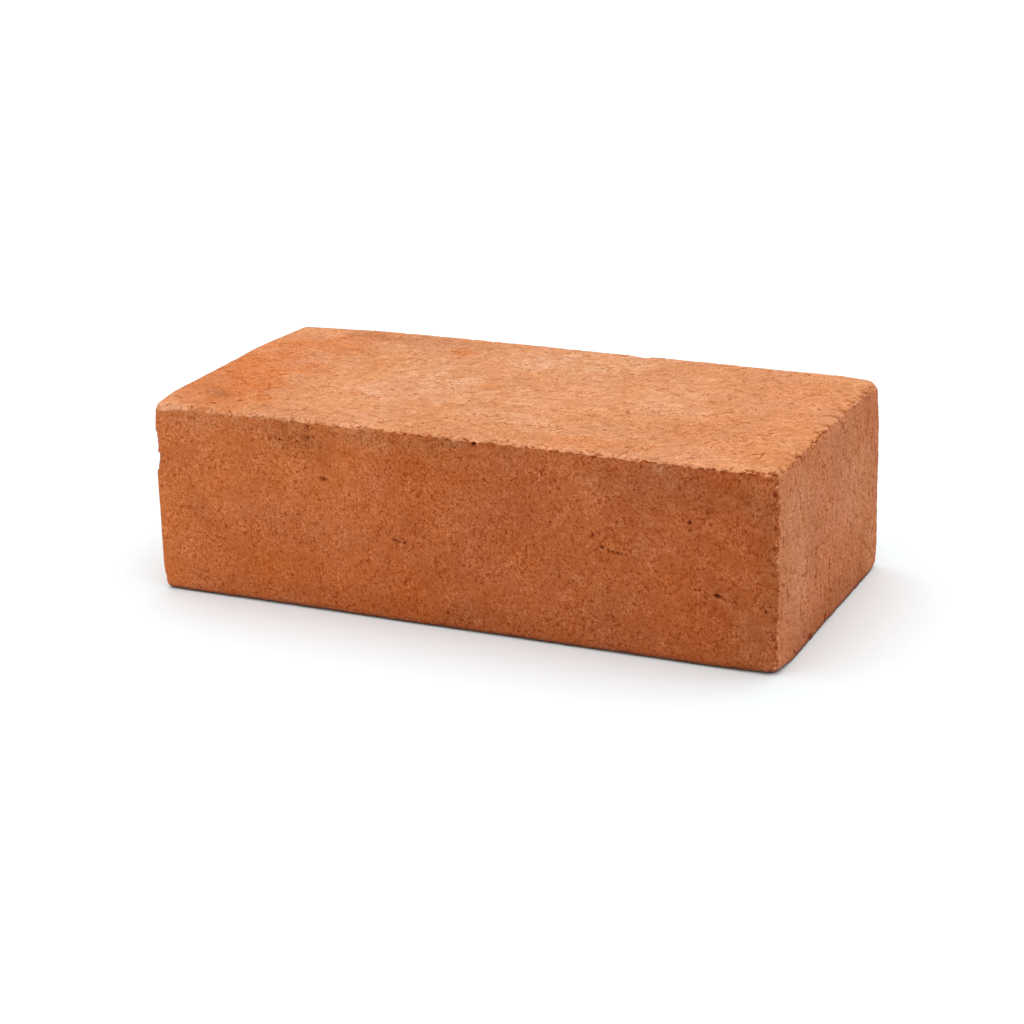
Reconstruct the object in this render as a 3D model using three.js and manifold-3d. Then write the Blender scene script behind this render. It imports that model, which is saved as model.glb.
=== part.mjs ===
// A solid common clay brick: one moulded and fired block, lying on its lower bed face.
//
// Millimetres, +Z up. The origin is the centre of the lower bed face and +X runs along the length.
// The faces are called left and right (the headers, at -X and +X), front and back (the stretchers,
// at -Y and +Y), and bottom and top (the beds).
//
// The block is a box whose twelve arrises are worn round, more so towards its eight corners. Chips
// knocked off the arrises and pits left open in the faces are then scooped out of it.

import * as THREE from "three";
import { mergeVertices } from "three/addons/utils/BufferGeometryUtils.js";
import Module from "manifold-3d";

// Size of the brick over its flat faces
const LENGTH = 215;
const WIDTH = 102.5;
const HEIGHT = 65;

// Wear of the arrises. The worn radius drifts along each arris by up to ARRIS_DRIFT, in waves that
// each make up a share of it and that are out of step from one arris to the next.
const ARRIS_RADIUS = 1.5;
const ARRIS_DRIFT = 0.35;
const DRIFT_WAVES = [
  { wavelength: 67, share: 0.6 },
  { wavelength: 31, share: 0.4 },
];
const DRIFT_STEP = 1.7; // radians

// Wear of the corners, which fades into the arris over CORNER_REACH
const CORNER_RADIUS = 4;
const CORNER_REACH = 16;

// Grid of facets: steps across each worn arris, further steps across the rest of a worn corner, and
// the widest spacing on the flats between
const ARRIS_STEPS = 3;
const CORNER_STEPS = 2;
const FLAT_SPACING = 13;

// Chips off the arris where two faces meet. `at` is where the chip's middle is, as a share of the
// way from the arris's middle (0) to its end (1 towards +X, +Y or +Z, and -1 the other way), and
// `hollow` is the radius that the break is dished to.
const CHIPS = [
  { faces: ["left", "front"], at: 0.42, long: 11, deep: 1.2, hollow: 6 },
  { faces: ["back", "top"], at: 0.23, long: 10, deep: 1.5, hollow: 5 },
  { faces: ["front", "top"], at: -0.47, long: 10, deep: 0.9, hollow: 6 },
  { faces: ["front", "top"], at: 0.07, long: 9, deep: 0.9, hollow: 5 },
  { faces: ["front", "top"], at: 0.63, long: 14, deep: 1.3, hollow: 8 },
  { faces: ["front", "top"], at: 0.86, long: 7, deep: 0.9, hollow: 5 },
  { faces: ["right", "top"], at: 0.24, long: 7, deep: 0.8, hollow: 4 },
  { faces: ["right", "bottom"], at: -0.08, long: 5, deep: 1.1, hollow: 4 },
  { faces: ["right", "bottom"], at: -0.41, long: 4, deep: 0.8, hollow: 3 },
];

// Open pits. `across` and `up` are shares of the way from the face's middle to its sides, as seen
// from outside, and `turn` is the angle in degrees from across to the pit's length.
const PITS = [
  { face: "front", across: -0.42, up: 0.42, long: 2.8, wide: 1.8, deep: 1.1, turn: -20 },
  { face: "front", across: 0.73, up: 0.4, long: 2.2, wide: 1.5, deep: 0.8, turn: 60 },
  { face: "front", across: 0.48, up: 0.06, long: 3.4, wide: 1.4, deep: 0.7, turn: -10 },
  { face: "front", across: 0.52, up: 0.02, long: 2.6, wide: 1.2, deep: 0.6, turn: -15 },
  { face: "front", across: 0.82, up: -0.26, long: 3.6, wide: 1.5, deep: 1.2, turn: -5 },
  { face: "front", across: -0.17, up: -0.14, long: 3.6, wide: 1.2, deep: 0.6, turn: -12 },
  { face: "top", across: 0.42, up: 0.33, long: 2.4, wide: 1.6, deep: 0.8, turn: 70 },
  { face: "top", across: 0.6, up: 0.18, long: 2.8, wide: 1.8, deep: 0.8, turn: 20 },
  { face: "top", across: 0.48, up: -0.13, long: 4.2, wide: 1.6, deep: 0.7, turn: 0 },
  { face: "top", across: 0.52, up: -0.84, long: 2.2, wide: 1.5, deep: 0.7, turn: 60 },
  { face: "right", across: -0.57, up: 0.37, long: 2.2, wide: 1.5, deep: 0.7, turn: 100 },
  { face: "right", across: -0.79, up: -0.05, long: 2.2, wide: 1.4, deep: 0.7, turn: 80 },
];

// Faceting of the balls that scoop chips and pits, and how far a broken surface strays from a
// smooth one, as a share of the ball's radius
const CHIP_DETAIL = 3;
const PIT_DETAIL = 1;
const BREAK_ROUGHNESS = 0.07;
const STRAY_STEP = 2.4; // radians from one vertex's stray to the next

// Points closer than this are one vertex
const WELD = 1e-4;

const FIRED_CLAY = { color: 0xc87545, roughness: 0.92, metalness: 0 };

const HALF = new THREE.Vector3(LENGTH, WIDTH, HEIGHT).divideScalar(2);
const MIDDLE = new THREE.Vector3(0, 0, HALF.z);

// Each face's outward direction, and the directions across and up it as seen from outside
const FACES = {
  left: { out: [-1, 0, 0], across: [0, -1, 0], up: [0, 0, 1] },
  right: { out: [1, 0, 0], across: [0, 1, 0], up: [0, 0, 1] },
  front: { out: [0, -1, 0], across: [1, 0, 0], up: [0, 0, 1] },
  back: { out: [0, 1, 0], across: [-1, 0, 0], up: [0, 0, 1] },
  bottom: { out: [0, 0, -1], across: [1, 0, 0], up: [0, -1, 0] },
  top: { out: [0, 0, 1], across: [1, 0, 0], up: [0, 1, 0] },
};
const direction = (face, name) => new THREE.Vector3(...FACES[face][name]);

const wasm = await Module();
wasm.setup();

// A geometry's bare triangles, with the vertices that they share merged
function weld(geometry) {
  const bare = geometry.clone();
  bare.deleteAttribute("normal");
  bare.deleteAttribute("uv");
  return mergeVertices(bare, WELD);
}

function toSolid(geometry) {
  const { attributes, index } = weld(geometry);
  const mesh = new wasm.Mesh({
    numProp: 3,
    vertProperties: new Float32Array(attributes.position.array),
    triVerts: new Uint32Array(index.array),
  });
  return new wasm.Manifold(mesh);
}

function toGeometry(solid) {
  const { vertProperties, triVerts } = solid.getMesh();
  const geometry = new THREE.BufferGeometry();
  geometry.setAttribute("position", new THREE.BufferAttribute(vertProperties, 3));
  geometry.setIndex(new THREE.BufferAttribute(triVerts, 1));
  geometry.computeVertexNormals();
  return geometry;
}

// Grid lines over one side of the box, from -half to +half, closer together where its ends are worn
function gridLines(half) {
  const { lerp } = THREE.MathUtils;
  const insets = [];
  for (let i = 0; i < ARRIS_STEPS; i++) insets.push(lerp(0, ARRIS_RADIUS, i / ARRIS_STEPS));
  for (let i = 0; i < CORNER_STEPS; i++) insets.push(lerp(ARRIS_RADIUS, CORNER_RADIUS, i / CORNER_STEPS));
  const flat = half - CORNER_RADIUS;
  const spans = Math.ceil((2 * flat) / FLAT_SPACING);
  const flats = Array.from({ length: spans + 1 }, (_, i) => lerp(-flat, flat, i / spans));
  const lows = insets.map((inset) => inset - half);
  const highs = insets.map((inset) => half - inset).reverse();
  return [...lows, ...flats, ...highs];
}

// The radius that the box is worn to near a point of its surface, measured from its middle. The
// nearest arris runs along the axis on which the point lies deepest in from the faces.
function wornRadius(point) {
  const insets = HALF.toArray().map((half, axis) => half - Math.abs(point.getComponent(axis)));
  const along = insets.indexOf(Math.max(...insets));
  const [b, c] = [0, 1, 2].filter((axis) => axis !== along);
  const arris = 4 * along + 2 * (point.getComponent(b) > 0) + (point.getComponent(c) > 0);
  let drift = 0;
  for (const { wavelength, share } of DRIFT_WAVES) {
    const angle = (2 * Math.PI * point.getComponent(along)) / wavelength;
    drift += share * Math.sin(angle + arris * DRIFT_STEP);
  }
  const nearCorner = 1 - THREE.MathUtils.smoothstep(insets[along], 0, CORNER_REACH);
  return THREE.MathUtils.lerp(ARRIS_RADIUS + ARRIS_DRIFT * drift, CORNER_RADIUS, nearCorner);
}

// The box with worn arrises and corners. Each grid point is moved to one worn radius from the core
// that is left when that radius is taken off all the faces.
function wornBlock() {
  const lines = HALF.toArray().map(gridLines);
  const counts = lines.map((list) => list.length - 1);
  const geometry = new THREE.BoxGeometry(...counts, ...counts);
  const position = geometry.attributes.position;
  const point = new THREE.Vector3();
  const core = new THREE.Vector3();
  for (let i = 0; i < position.count; i++) {
    point.fromBufferAttribute(position, i);
    const cell = point.toArray().map((value, axis) => Math.round(value + counts[axis] / 2));
    point.set(...cell.map((line, axis) => lines[axis][line]));
    const radius = wornRadius(point);
    const reach = HALF.clone().subScalar(radius);
    core.copy(point).clamp(reach.clone().negate(), reach);
    point.sub(core).setLength(radius).add(core).add(MIDDLE);
    position.setXYZ(i, ...point);
  }
  return toSolid(geometry);
}

// A faceted ball of radius 1, rough as a broken surface is
function roughBall(detail, seed) {
  const geometry = weld(new THREE.IcosahedronGeometry(1, detail));
  const position = geometry.attributes.position;
  const point = new THREE.Vector3();
  for (let i = 0; i < position.count; i++) {
    const stray = BREAK_ROUGHNESS * Math.sin((i + 1) * (seed + 1) * STRAY_STEP);
    point.fromBufferAttribute(position, i).multiplyScalar(1 + stray);
    position.setXYZ(i, ...point);
  }
  return geometry;
}

// A rough ball stretched to three radii along three axes at right angles, about a centre
function scoop(detail, seed, centre, axes, radii) {
  const placed = new THREE.Matrix4().makeBasis(...axes);
  placed.scale(new THREE.Vector3(...radii)).setPosition(centre);
  return toSolid(roughBall(detail, seed).applyMatrix4(placed));
}

// A chip's scoop lies outside its arris and bites `deep` into it, over a length of `long`.
function chip({ faces, at, long, deep, hollow }, seed) {
  const [one, other] = faces.map((face) => direction(face, "out"));
  const toArris = one.clone().add(other);
  const along = new THREE.Vector3(...toArris.toArray().map((value) => 1 - Math.abs(value)));
  const out = toArris.clone().normalize();
  const wornAway = ARRIS_RADIUS * (Math.SQRT2 - 1);
  const centre = toArris.clone().addScaledVector(along, at).multiply(HALF).add(MIDDLE);
  centre.addScaledVector(out, hollow - deep - wornAway);
  const halfLong = long / 2 / Math.sqrt(1 - (1 - deep / hollow) ** 2);
  const axes = [along, out, along.clone().cross(out)];
  return scoop(CHIP_DETAIL, seed, centre, axes, [halfLong, hollow, hollow]);
}

// A pit's scoop has its middle on the face.
function pit({ face, across, up, long, wide, deep, turn }, seed) {
  const out = direction(face, "out");
  const centre = out.clone().addScaledVector(direction(face, "across"), across);
  centre.addScaledVector(direction(face, "up"), up).multiply(HALF).add(MIDDLE);
  const lengthwise = direction(face, "across").applyAxisAngle(out, THREE.MathUtils.degToRad(turn));
  const axes = [lengthwise, out.clone().cross(lengthwise), out];
  return scoop(PIT_DETAIL, seed, centre, axes, [long / 2, wide / 2, deep]);
}

let solid = wornBlock();
for (const hollow of [...CHIPS.map(chip), ...PITS.map(pit)]) solid = solid.subtract(hollow);

const brick = new THREE.Mesh(toGeometry(solid), new THREE.MeshStandardMaterial(FIRED_CLAY));
brick.name = "brick";

const group = new THREE.Group();
group.add(brick);

export default group;
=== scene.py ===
"""The looks of a fired clay brick, built in Blender 4.5 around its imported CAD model.

The CAD node is one worn block. A finely meshed brick stands in its place here, with rough arrises,
chips, pits, cracks and faces that aren't quite flat. It gets a procedural clay material, and the
scene gets a pale floor, soft light from above and a camera.

Lengths are in millimetres from the middle of the brick until the mesh is written, in metres, in the
CAD model's frame. A face is named by its side, and a place on it is given as across and up, as seen
from outside.
"""

import math

import bmesh
import bpy
import numpy as np
from mathutils import Matrix, Vector


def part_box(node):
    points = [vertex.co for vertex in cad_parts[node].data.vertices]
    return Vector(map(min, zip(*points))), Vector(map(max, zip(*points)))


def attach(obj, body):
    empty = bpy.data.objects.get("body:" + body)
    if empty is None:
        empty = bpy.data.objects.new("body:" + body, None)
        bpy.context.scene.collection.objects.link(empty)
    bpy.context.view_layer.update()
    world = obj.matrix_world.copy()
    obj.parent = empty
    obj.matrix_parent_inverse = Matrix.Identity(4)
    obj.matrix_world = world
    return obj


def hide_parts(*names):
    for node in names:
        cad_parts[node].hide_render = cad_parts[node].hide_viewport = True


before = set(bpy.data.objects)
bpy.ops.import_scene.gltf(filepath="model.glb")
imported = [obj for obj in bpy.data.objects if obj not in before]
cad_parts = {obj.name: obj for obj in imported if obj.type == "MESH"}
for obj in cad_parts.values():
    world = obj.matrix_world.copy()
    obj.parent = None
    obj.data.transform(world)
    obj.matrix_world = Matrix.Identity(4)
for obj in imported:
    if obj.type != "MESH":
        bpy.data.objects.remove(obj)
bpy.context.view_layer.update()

MM = 0.001
BODY = "root"
NODE = "brick"

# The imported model's box gives the size, in millimetres, and the middle, in metres.
LOW, HIGH = (np.array(corner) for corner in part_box(NODE))
HALF = (HIGH - LOW) / 2 / MM
MIDDLE = (HIGH + LOW) / 2

FACES = {
    "left": {"out": (-1, 0, 0), "across": (0, -1, 0), "up": (0, 0, 1)},
    "right": {"out": (1, 0, 0), "across": (0, 1, 0), "up": (0, 0, 1)},
    "front": {"out": (0, -1, 0), "across": (1, 0, 0), "up": (0, 0, 1)},
    "back": {"out": (0, 1, 0), "across": (-1, 0, 0), "up": (0, 0, 1)},
    "bottom": {"out": (0, 0, -1), "across": (1, 0, 0), "up": (0, -1, 0)},
    "top": {"out": (0, 0, 1), "across": (1, 0, 0), "up": (0, 1, 0)},
}

# ---- Sizes of the shape ---------------------------------------------------------------------

# Grid spacing on the flats. It is halved within the first distance of an arris or a mark, and
# halved again within the second.
GRID = 1.6
HALVED_WITHIN = 3.6
QUARTERED_WITHIN = 1.8
MARK_MARGIN = 0.7

# Wear of the arrises, much as on the CAD model, and how far it drifts along them
ARRIS_RADIUS = 1.1
ARRIS_DRIFT = 0.4
ARRIS_DRIFT_SCALE = 24
# Arrises worn otherwise, and how far from them that counts
ARRIS_RADII = {
    ("front", "bottom"): 2.3,
    ("right", "bottom"): 0.7,
    ("front", "top"): 1.5,
    ("left", "top"): 1.6,
}
ARRIS_WITHIN = 5

# Wear of the corners, and how far along the arrises it fades out
CORNER_RADIUS = 4
CORNER_REACH = 16
# Corners worn otherwise: the faces that meet there, the radius and the reach
CORNERS = [
    (("left", "back", "top"), 5.5, 40),
    (("left", "front", "bottom"), 2.5, 10),
    (("right", "back", "bottom"), 2.5, 10),
    (("right", "front", "top"), 1.8, 6),
]

# The seeds of the four noises that the shape is made with, the factor that brings one to about -1
# to 1, and after how many cells one repeats
NOISE_SEEDS = (1, 2, 3, 4)
NOISE_GAIN = 1.6
HASH_SIZE = 256

# Unevenness of the faces: the scale and depth of each layer of noise, what is added to the noise
# so that more of the face lies low, and how far apart the layers are read
UNEVENNESS = [(38, 0.16), (11, 0.08), (3.2, 0.07)]
UNEVENNESS_SINK = 0.2
UNEVENNESS_APART = 70

# Crumbling of the arrises: how far in it shows, the scale, depth and first level of each layer of
# noise, how much higher the noise is where a layer is at its full depth, and how far apart they
# are read
CRUMBLE_REACH = 1.4
CRUMBLE = [(7.0, 0.3, 0.2), (2.6, 0.8, 0.22), (1.3, 0.7, 0.15)]
CRUMBLE_STEP = 0.3
CRUMBLE_APART = 90
# How much each arris crumbles, how far from it that counts, and the share of any other
CRUMBLE_SHARES = {
    ("front", "top"): 1.1,
    ("right", "top"): 0.9,
    ("front", "right"): 0.7,
    ("left", "top"): 0.2,
    ("back", "top"): 0.25,
}
CRUMBLE_WITHIN = 3 * CRUMBLE_REACH
OTHER_CRUMBLE = 0.25
# The left end is smoother. Along the brick, crumbling starts at the first place and is full at the
# second.
CRUMBLE_SPAN = (-112, -78)

# Hollows under an arris: the arris, the face they are on, how far in from it they lie, how wide
# the band is, and the scale, depth and first level of the noise, with the same step as above
HOLLOWS = [
    (("front", "top"), "front", 1.3, 0.9, 2.4, 0.7, 0.2),
    (("front", "top"), "front", 1.2, 1.1, 4.0, 0.7, 0.4),
    (("front", "top"), "front", 2.4, 1.6, 1.3, 0.3, 0.15),
    (("front", "right"), "front", 1.2, 1.0, 1.8, 0.35, 0.15),
    (("right", "top"), "right", 0.9, 0.7, 1.5, 0.5, 0.05),
]
# How far in from their face they reach, and where along the brick they start and are full
HOLLOW_SKIN = 2
HOLLOW_SPAN = (-105, -75)

# The arris that small cuts cross: how far apart they are, how deep, how far they reach on each of
# its two faces, and the levels of noise at which one starts and is full. Across the arris the
# noise is read at a share of the distance, which draws the cuts out.
CUT_ARRIS = ("right", "top")
CUT_SPACING = 2.6
CUT_DEPTH = 1.5
CUT_REACHES = (1.2, 3.4)
CUT_LEVELS = (0.1, 0.45)
CUT_ACROSS = 0.25
# They start and are full this far from the arris's back end.
CUT_END = (4, 20)

# Chips off the arrises: faces that meet there, share of the way from the arris's middle to its
# end, length, depth, radius of the hollow, and how far the chip loses the colour of the bed
CHIPS = [
    (("left", "front"), 0.38, 7.5, 2.2, 3.8, 0),
    (("left", "front"), 0.53, 18, 1.5, 10, 0),
    (("back", "top"), 0.23, 10, 1.5, 5, 0),
    # A long bare facet at the left end, and a shorter one at the right end
    (("front", "top"), -0.82, 70, 0.8, 8, 1),
    (("front", "top"), 0.95, 22, 0.9, 8, 1),
    (("front", "top"), -0.47, 10, 0.9, 6, 0.2),
    (("front", "top"), 0.07, 9, 0.9, 5, 0.4),
    (("front", "top"), 0.63, 14, 1.3, 8, 0.2),
    (("front", "top"), 0.86, 7, 0.9, 5, 0.5),
    (("right", "top"), 0.24, 7, 0.8, 4, 0),
]
# The scale of each layer of a chip's roughness, and its height as a share of the chip's depth
CHIP_ROUGHNESS = [(2.2, 0.3), (0.9, 0.15)]
# Depth at which a chip is fully bare
CHIP_BARE = 0.5

# Open pits on each face: across, up, length, width, depth, and degrees from across to its length
PITS = {
    "front": [
        # The clearest, on their own or in pairs
        (-45.2, 13.0, 2.9, 2.1, 0.8, -20),
        (-20.6, -4.4, 1.8, 1.0, 0.7, -10),
        (-16.9, -5.0, 1.7, 1.0, 0.8, -10),
        (50.6, 2.0, 1.6, 1.0, 1.0, -20),
        (54.0, 1.2, 1.3, 0.9, 0.9, -15),
        (79.0, 13.6, 1.9, 1.5, 1.0, 60),
        (79.1, 11.3, 1.4, 1.1, 0.7, 30),
        (87.9, -8.7, 3.0, 1.2, 1.3, -3),
        # A rough patch near the upper arris
        (-49.8, 30.1, 1.6, 1.3, 0.8, 0),
        (-49.8, 26.5, 1.5, 1.1, 0.8, 30),
        (-60.4, 24.6, 1.6, 1.1, 0.9, 20),
        (-53.9, 24.7, 1.4, 0.9, 0.7, 0),
        (-61.8, 25.2, 1.1, 0.8, 0.6, 0),
        (-56.7, 25.9, 1.1, 0.9, 0.5, 60),
        (-50.9, 25.4, 1.2, 0.8, 0.6, 0),
        (-47.8, 26.8, 1.3, 0.9, 0.6, 0),
        (-48.0, 29.6, 1.2, 0.8, 0.6, 0),
        (-63.4, 25.0, 0.9, 0.7, 0.5, 0),
        (-53.4, 21.1, 1.2, 0.8, 0.5, 0),
        # Fainter ones
        (-55.1, 10.9, 1.5, 1.1, 0.5, 50),
        (-60.0, 12.1, 1.3, 0.9, 0.45, 0),
        (-70.1, 23.5, 1.2, 0.8, 0.5, 0),
        (-69.3, 17.4, 2.2, 0.8, 0.5, 0),
        (-81.4, 24.6, 1.6, 0.9, 0.4, -40),
        (-90.6, -2.0, 2.0, 1.2, 0.5, 60),
        (-98.3, 5.8, 1.3, 0.9, 0.4, 80),
        (76.0, 24.2, 1.6, 0.9, 0.5, 0),
        (60.4, 18.8, 1.4, 0.8, 0.4, 80),
        (66.9, -0.4, 1.1, 0.9, 0.6, 0),
        (60.1, -4.4, 1.6, 0.9, 0.55, -10),
        # Nicks under the upper arris
        (8.1, 30.6, 2.6, 1.8, 1.1, 70),
        (43.6, 31.3, 2.4, 0.9, 0.5, -5),
        (48.2, 31.0, 2.4, 0.9, 0.5, -5),
        (63.6, 29.4, 2.0, 0.9, 0.6, 80),
        (66.4, 31.3, 2.8, 1.1, 0.7, 0),
        (83.0, 31.3, 2.2, 1.0, 0.6, 0),
        (86.5, 31.5, 2.0, 1.0, 0.6, 10),
        (90.6, 31.5, 2.4, 1.0, 0.6, 0),
        (95.4, 31.0, 1.6, 1.1, 0.6, 35),
        # Nicks beside the right arris
        (105.6, 25.8, 2.0, 1.6, 0.7, 90),
        (105.9, 15.1, 2.2, 1.2, 0.6, 90),
        (105.9, 8.8, 2.4, 1.3, 0.7, 90),
        (104.0, 5.0, 1.5, 1.0, 0.5, 60),
        (105.5, 0.5, 2.0, 1.3, 0.6, 90),
        (103.4, -11.6, 1.5, 1.0, 0.9, -30),
        (105.9, -20.5, 1.8, 1.2, 0.7, 0),
    ],
    "top": [
        (51.0, -6.7, 4.2, 1.4, 0.7, 0),
        (64.5, 9.0, 2.8, 1.8, 0.8, 20),
        (44.7, 17.4, 2.2, 1.5, 0.8, 70),
        (36.7, 16.8, 2.2, 1.0, 0.45, 0),
        (53.0, 4.9, 1.8, 1.1, 0.45, 0),
        (73.4, 8.5, 2.0, 1.1, 0.5, 20),
        (51.9, -4.6, 2.0, 1.0, 0.5, 0),
        (69.2, -14.1, 2.2, 1.1, 0.5, 10),
        (48.9, -22.3, 1.8, 1.0, 0.5, 0),
        (97.4, -30.6, 1.4, 0.9, 0.3, 60),
        (60.7, -33.2, 1.8, 1.0, 0.45, 0),
        (56.0, -42.5, 2.2, 1.5, 0.7, 60),
        (55.4, -42.8, 2.2, 1.3, 0.6, 80),
        (60.1, -45.9, 2.0, 1.1, 0.5, 0),
        (80.1, -45.0, 2.0, 1.0, 0.5, 0),
        (62.3, -47.8, 1.5, 1.0, 0.4, 0),
        (19.0, -49.6, 2.2, 1.0, 0.5, 10),
    ],
    "right": [
        # Two in the lower arris
        (-4.4, -30.2, 3.8, 2.6, 1.1, 90),
        (-20.4, -30.8, 2.8, 2.4, 0.9, 90),
        (-29.0, 12.2, 2.2, 1.4, 0.7, 100),
        (-26.7, 4.9, 1.8, 1.2, 0.6, 80),
        (-40.5, -1.8, 2.2, 1.4, 0.7, 80),
    ],
}
# The scale and share of a pit's raggedness, and its rim and floor as shares of its half size
PIT_RAGGEDNESS = [(0.9, 0.25)]
PIT_WALL = (1.1, 0.35)

# Small pits scattered over every face: how many to the square centimetre, the share of the face
# that they keep to, their lengths, their widths as shares of the length, and their depths
SCATTERED_SEED = 7
SCATTERED_PER_CM2 = 0.12
SCATTERED_SPREAD = 0.96
SCATTERED_LENGTHS = (0.9, 1.8)
SCATTERED_WIDTHS = (0.45, 0.9)
SCATTERED_DEPTHS = (0.15, 0.4)

# Cracks on each face: width, depth and the points that it runs through, as across and up
CRACKS = {
    "front": [
        (0.6, 0.9, [(45.6, 6.4), (46.6, 5.9), (47.9, 5.7)]),
        (0.5, 0.6, [(48.2, 1.0), (49.2, 2.1), (50.6, 2.0)]),
        (0.5, 0.6, [(51.6, 1.7), (54.0, 1.2)]),
        (0.6, 0.7, [(55.2, 1.0), (56.8, 0.9), (58.4, 0.5)]),
        (0.5, 0.8, [(-20.6, -4.4), (-18.9, -4.9), (-16.6, -5.0)]),
        (0.5, 0.45, [(89.2, -9.2), (91.0, -9.9)]),
        (0.5, 0.65, [(91.6, -9.9), (93.2, -10.1), (94.8, -11.1)]),
        (0.5, 0.8, [(101.4, -11.0), (103.4, -11.6)]),
        (0.6, 0.8, [(-51.4, 15.5), (-49.8, 14.9)]),
        (0.6, 0.6, [(97.3, 30.7), (102.5, 31.2), (106.3, 31.8)]),
        (0.5, 0.6, [(87.5, 31.2), (91.5, 30.6), (95.5, 30.9)]),
    ],
    "top": [
        (0.6, 0.7, [(29.3, -30.8), (25.9, -31.1), (22.2, -34.6)]),
        (0.5, 0.6, [(-12.6, 4.9), (-9.8, 7.6)]),
        (0.5, 0.6, [(-14.1, -8.9), (-12.0, -6.1)]),
    ],
}
# How far in from its face a crack reaches, and its floor as a share of its width
CRACK_SKIN = 1
CRACK_FLOOR = 0.15
# How far a crack wanders across and up, on what scale, and how far apart the two are read
CRACK_WANDER = (0.5, 0.7)
CRACK_WANDER_SCALE = 1.4
CRACK_WANDER_APART = 50
# Where a crack closes up: the levels of noise at which it is closed and open, the scale of the
# noise and how far off it is read
CRACK_CLOSED = (-0.25, 0.1)
CRACK_CLOSED_SCALE = 1.8
CRACK_CLOSED_APART = 20

# ---- Marks that the material shows ----------------------------------------------------------

# Firing and handling marks, painted shade near the ground and painted highlight along an arris on
# each face, by kind: across, up, length, width, degrees from across to its length, and strength
BLOTCHES = {
    "top": {
        "bloom_and_highlight": [
            (-32, 1, 66, 44, -20, 0.55),
            (-30, 6, 40, 14, -24, 1.0),
            (-44, 22, 18, 8, 25, 0.8),
            (-46, -17, 26, 7, -10, 0.6),
            (5, 33, 60, 30, 0, 0.9),
            (50, 5, 50, 26, 0, 0.4),
            (10, -27, 44, 14, -5, 0.45),
            (61, -33, 14, 7, 0, 0.35),
            # Painted highlight along the front-top arris at the left end
            (-97, -49.5, 16, 3, 0, 0.7),
            (98, 44, 20, 16, 0, 0.4),
        ],
        "ember": [
            (-94, -12, 42, 84, 6, 1.0),
            (-78, 26, 24, 17, 0, 0.8),
            (-76, 37, 40, 11, 34, 0.65),
            (-58, 0, 20, 36, 0, 0.35),
            (-49, -20, 8, 6, 0, 0.6),
            (-36, 34, 10, 7, 0, 0.9),
            (-10, 1, 9, 8, 50, 0.7),
            (38, -44, 44, 12, 0, 0.35),
            (88, 0, 60, 100, 0, 0.25),
        ],
        "dull": [
            (-92, -35, 16, 7, -25, 0.8),
            (-52, 43, 54, 12, 0, 0.55),
            (62, 10, 14, 6, 10, 0.2),
        ],
    },
    "front": {
        "bloom_and_highlight": [
            # The next two are painted highlight along the upper arris at the left end
            (-97, 31.8, 18, 2.2, 0, 0.7),
            (-80, 32, 60, 3, 0, 0.8),
            (-20, 28, 190, 13, 0, 0.15),
            (50, -10, 46, 28, 0, 0.13),
            (66, 7, 56, 26, 0, 0.15),
            (69, 30, 7, 4, -15, 0.25),
            (73.5, 24.5, 2.5, 1.5, 0, 0.35),
            (76.5, 26.5, 3, 1.5, -30, 0.4),
            (98, -15, 36, 18, 90, 0.2),
        ],
        "ember": [
            (-69, -21, 6, 18, -10, 0.5),
            (78, -2, 46, 40, 0, 0.3),
        ],
        "dull": [
            (-91, -2, 8, 6, 0, 0.25),
            (-84, 28.4, 50, 5.4, 0, 0.3),
            (-57, 26, 30, 14, -25, 0.4),
            (-25, 28.2, 50, 5.4, 0, 0.4),
            (1, 30.5, 14, 4, 0, 0.8),
            (70, 29.5, 9, 5, -15, 0.6),
            (72, 22, 50, 10, -5, 0.3),
            (98, 24, 12, 14, 60, 0.6),
            (98, -22, 16, 22, 0, 0.35),
            (104.5, 0, 66, 6, 90, 0.6),
        ],
        "damp_and_low_shade": [
            (-58, -4, 58, 26, 0, 0.2),
            (-53, 26, 22, 12, -20, 0.45),
            (-50.5, 28, 5, 9, 0, 0.9),
            # The next two are painted shade: darker bands along the bottom, near the ground
            (-45, -30, 130, 13, 0, 0.45),
            (5, -28, 38, 12, 0, 0.75),
        ],
    },
    "right": {
        "bloom_and_highlight": [
            (-36, 8, 28, 30, 0, 0.3),
            (-30, -4, 16, 34, 0, 0.3),
            (30, 4, 34, 40, 0, 0.25),
            (42, -20, 18, 24, 0, 0.25),
        ],
        "ember": [(6, -12, 26, 20, 0, 0.35)],
        "dull": [(-28, 10, 30, 14, -15, 0.2)],
        "damp_and_low_shade": [
            # Painted shade: a darker band along the bottom, near the ground
            (-4, -30, 74, 15, 0, 0.75),
            (20, 22, 60, 16, 0, 0.25),
        ],
    },
}
ALL_KINDS = ["bloom_and_highlight", "ember", "dull", "damp_and_low_shade"]
# The scale and share of each layer of a mark's raggedness, and where it starts and is full, as
# shares of its half size
BLOTCH_RAGGEDNESS = [(13, 0.55), (5, 0.3)]
BLOTCH_EDGE = (1.45, 0.35)

# Faces without marks of their own get this many at random, of these kinds in turn, within this
# share of the face.
PLAIN_FACES = ["back", "left", "bottom"]
RANDOM_SEED = 11
RANDOM_BLOTCHES = 9
RANDOM_KINDS = ["bloom_and_highlight", "ember", "dull"]
RANDOM_SPREAD = 0.9
RANDOM_LENGTHS = (14, 46)
RANDOM_WIDTHS = (8, 22)
RANDOM_STRENGTHS = (0.3, 0.75)

# The depths at which a pit or crack, a deep pit and a hollow start to show and show fully, and the
# share of a cut's depth that shows as a pit's does
CAVITY_SHOWS = (0.05, 0.8)
DEEP_SHOWS = (0.75, 1.2)
HOLLOW_SHOWS = (0.5, 1.5)
CUT_SHOWS = 0.55

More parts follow.
